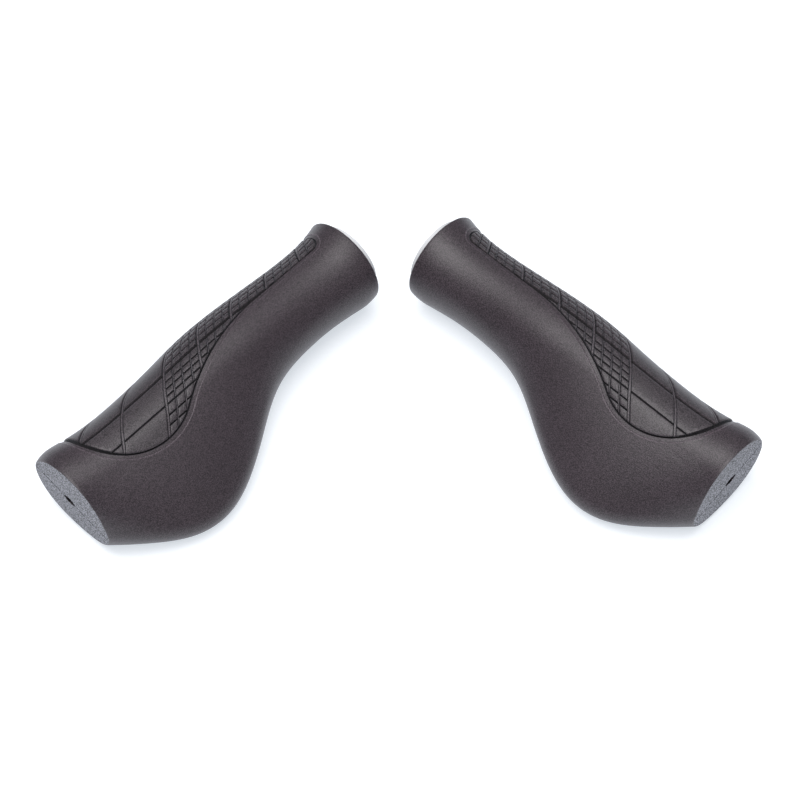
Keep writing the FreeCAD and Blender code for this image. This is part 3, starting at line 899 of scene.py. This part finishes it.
def ranged(nodes, links, value, start, stop):
    """The value, carried from the range start to the range stop and held at its ends."""
    carried = nodes.new("ShaderNodeMapRange")
    carried.inputs["From Min"].default_value, carried.inputs["From Max"].default_value = start
    carried.inputs["To Min"].default_value, carried.inputs["To Max"].default_value = stop
    links.new(value, carried.inputs["Value"])
    return carried.outputs["Result"]


def roughen(nodes, links, shader, grain, strength, height):
    """Bumps of a grain's height over the shader's surface."""
    bump = nodes.new("ShaderNodeBump")
    bump.inputs["Strength"].default_value = strength
    bump.inputs["Distance"].default_value = height
    links.new(grain, bump.inputs["Height"])
    links.new(bump.outputs["Normal"], shader.inputs["Normal"])


CLOUD_SCALE = 45  # waves to the metre
GLINT_FINENESS = 2.1  # pale specks, painted glints on the grain, are this much finer than the grain
PAINTED_EDGE_HIGHLIGHT = 2.2  # a full painted highlight on an edge against the plain rubber
PAINTED_GROOVE_SHADE = 0.12  # painted shade at the bottom of a groove against the plain rubber


def rubber(name, colour, grain_scale, grain_height, contrast, roughness):
    """Dark moulded rubber: a spark-eroded grain with a slight cloudiness of tone.

    Pale specks on the grain are painted glints. Painted shade darkens the bottoms of grooves, and
    painted highlights make their edges paler.
    """
    material, nodes, links, shader = node_material(name)
    place = nodes.new("ShaderNodeTexCoord")
    grain = noise(nodes, links, place, grain_scale, 1)
    painted_glints = noise(nodes, links, place, grain_scale * GLINT_FINENESS, 1)
    attribute = nodes.new("ShaderNodeAttribute")
    attribute.attribute_name = "painted_shading"
    painted_shading = attribute.outputs["Fac"]
    # A value, the range it is read over and the factors at the two ends of that range.
    factors = (
        (grain, (0.41, 0.59), (1 - contrast, 1 + contrast)),
        # pale specks: painted glints on the grain
        (painted_glints, (0.66, 0.76), (1, 1 + 2 * contrast)),
        # painted highlights on edges, then painted shade in grooves
        (painted_shading, (-1, 0), (PAINTED_EDGE_HIGHLIGHT, 1)),
        (painted_shading, (0, 1), (1, PAINTED_GROOVE_SHADE)),
    )
    base = clouded(nodes, links, place, CLOUD_SCALE, colour, 0.08)
    for value, start, stop in factors:
        base = scaled(nodes, links, base, ranged(nodes, links, value, start, stop))
    links.new(base, shader.inputs["Base Color"])
    links.new(ranged(nodes, links, painted_shading, (0, 1), (roughness, 1)), shader.inputs["Roughness"])
    roughen(nodes, links, shader, grain, 1.0, grain_height)
    shader.inputs["IOR"].default_value = 1.46
    shader.inputs["Sheen Weight"].default_value = 0.12
    shader.inputs["Sheen Roughness"].default_value = 0.45
    shader.inputs["Sheen Tint"].default_value = (0.80, 0.86, 1.0, 1)
    return material


def moulded_plastic(name, colour):
    """Pale moulded plastic with a faint satin grain."""
    cloud_scale, grain_scale = 120, 1800  # waves to the metre
    grain_height = 0.012 * MM
    material, nodes, links, shader = node_material(name)
    place = nodes.new("ShaderNodeTexCoord")
    base = clouded(nodes, links, place, cloud_scale, colour, 0.06)
    links.new(base, shader.inputs["Base Color"])
    grain = noise(nodes, links, place, grain_scale, 2)
    roughen(nodes, links, shader, grain, 0.6, grain_height)
    shader.inputs["Roughness"].default_value = 0.42
    return material


# ---------------------------------------------------------------- studio


HORIZON_HEIGHT = 0.2  # of a view direction of length 1: the sky is at its darkest up to here
HORIZON_STRENGTH = 0.02
ZENITH_STRENGTH = 0.80
FLOOR_REACH = 3.0  # metres each way
FLOOR_DROP = 0.2 * MM  # below the pair, so that the two don't touch


def studio_floor():
    """A plain pale floor, slightly lit from within so that shadows stay faint."""
    material, _, _, shader = node_material("studio_floor")
    shader.inputs["Base Color"].default_value = (0.55, 0.55, 0.555, 1)
    shader.inputs["Roughness"].default_value = 0.9
    shader.inputs["Emission Color"].default_value = (0.88, 0.94, 1.0, 1)
    shader.inputs["Emission Strength"].default_value = 0.65
    turns = ((-1, -1), (1, -1), (1, 1), (-1, 1))
    corners = [(FLOOR_REACH * x, FLOOR_REACH * y, 0) for x, y in turns]
    mesh = bpy.data.meshes.new("studio_floor")
    mesh.from_pydata(corners, [], [(0, 1, 2, 3)])
    mesh.materials.append(material)
    floor = bpy.data.objects.new("studio_floor", mesh)
    floor.location.z = cad_low.z - FLOOR_DROP
    bpy.context.scene.collection.objects.link(floor)


def softbox(name, place, width, height, power, colour):
    """A rectangular area light that faces the middle of the pair."""
    light = bpy.data.lights.new(name, "AREA")
    light.shape = "RECTANGLE"
    light.size, light.size_y = width, height
    light.energy = power
    light.color = colour
    lamp = bpy.data.objects.new(name, light)
    lamp.location = place
    aim = Vector((0, 0, 0)) - Vector(place)
    lamp.rotation_euler = aim.to_track_quat("-Z", "Y").to_euler()
    bpy.context.scene.collection.objects.link(lamp)


def studio_light():
    """A soft sky, dark at the horizon and bright overhead, and one softbox above the pair."""
    world = bpy.data.worlds.new("studio")
    world.use_nodes = True
    nodes, links = world.node_tree.nodes, world.node_tree.links
    sky = nodes["Background"]
    sky.inputs["Color"].default_value = (0.94, 0.96, 1.0, 1)
    direction = nodes.new("ShaderNodeTexCoord")
    height = nodes.new("ShaderNodeSeparateXYZ")
    links.new(direction.outputs["Generated"], height.inputs["Vector"])
    strengths = (HORIZON_STRENGTH, ZENITH_STRENGTH)
    strength = ranged(nodes, links, height.outputs["Z"], (HORIZON_HEIGHT, 1), strengths)
    links.new(strength, sky.inputs["Strength"])
    bpy.context.scene.world = world
    softbox("top_softbox", (-0.13, -0.12, 1.1), 0.8, 0.8, 12, (1.0, 0.985, 0.98))
    bpy.context.scene.view_settings.view_transform = "Standard"


CAMERA_ELEVATION = math.radians(58.1)
CAMERA_DISTANCE = 0.7526
CAMERA_LENS = 98.1  # on the 36 mm sensor
AIM_AHEAD = 10.45 * MM  # the aim lies this far in front of the pair's centre


def studio_camera():
    """The camera at the angle of the product shot, level and square to the pair."""
    bar_height = frame["record"]["mounts"][0]["pos_m"][2]
    aim = Vector((0, -AIM_AHEAD, bar_height))
    back = Vector((0, -math.cos(CAMERA_ELEVATION), math.sin(CAMERA_ELEVATION)))
    data = bpy.data.cameras.new("camera")
    data.lens = CAMERA_LENS
    data.clip_start, data.clip_end = 0.01, 50
    camera = bpy.data.objects.new("camera", data)
    camera.location = aim + back * CAMERA_DISTANCE
    camera.rotation_euler = (-back).to_track_quat("-Z", "Y").to_euler()
    bpy.context.scene.collection.objects.link(camera)
    bpy.context.scene.camera = camera


# ---------------------------------------------------------------- the scene

sleeve_rubber = rubber(
    "sleeve_rubber", colour=(0.038, 0.029, 0.035), grain_scale=3300,
    grain_height=0.07 * MM, contrast=0.62, roughness=0.40,
)
# The outer face's rubber: its lighter, bluer colour is painted light on the face, and its grain is
# coarser.
end_rubber_painted_light = rubber(
    "end_rubber_painted_light", colour=(0.155, 0.155, 0.177), grain_scale=2100,
    grain_height=0.16 * MM, contrast=1.0, roughness=0.60,
)
panel_rubber = rubber(
    "panel_rubber", colour=(0.040, 0.033, 0.038), grain_scale=3300,
    grain_height=0.06 * MM, contrast=0.70, roughness=0.43,
)
core_plastic = moulded_plastic("core_plastic", colour=(0.614, 0.624, 0.644))

for side in ("left", "right"):
    skin = Skin(side)
    build_sleeve(skin, [sleeve_rubber, end_rubber_painted_light])
    build_panel(skin, panel_rubber)
    core = frame["nodes"][f"{side}_core"]
    core.data.materials.clear()
    core.data.materials.append(core_plastic)

studio_floor()
studio_light()
studio_camera()
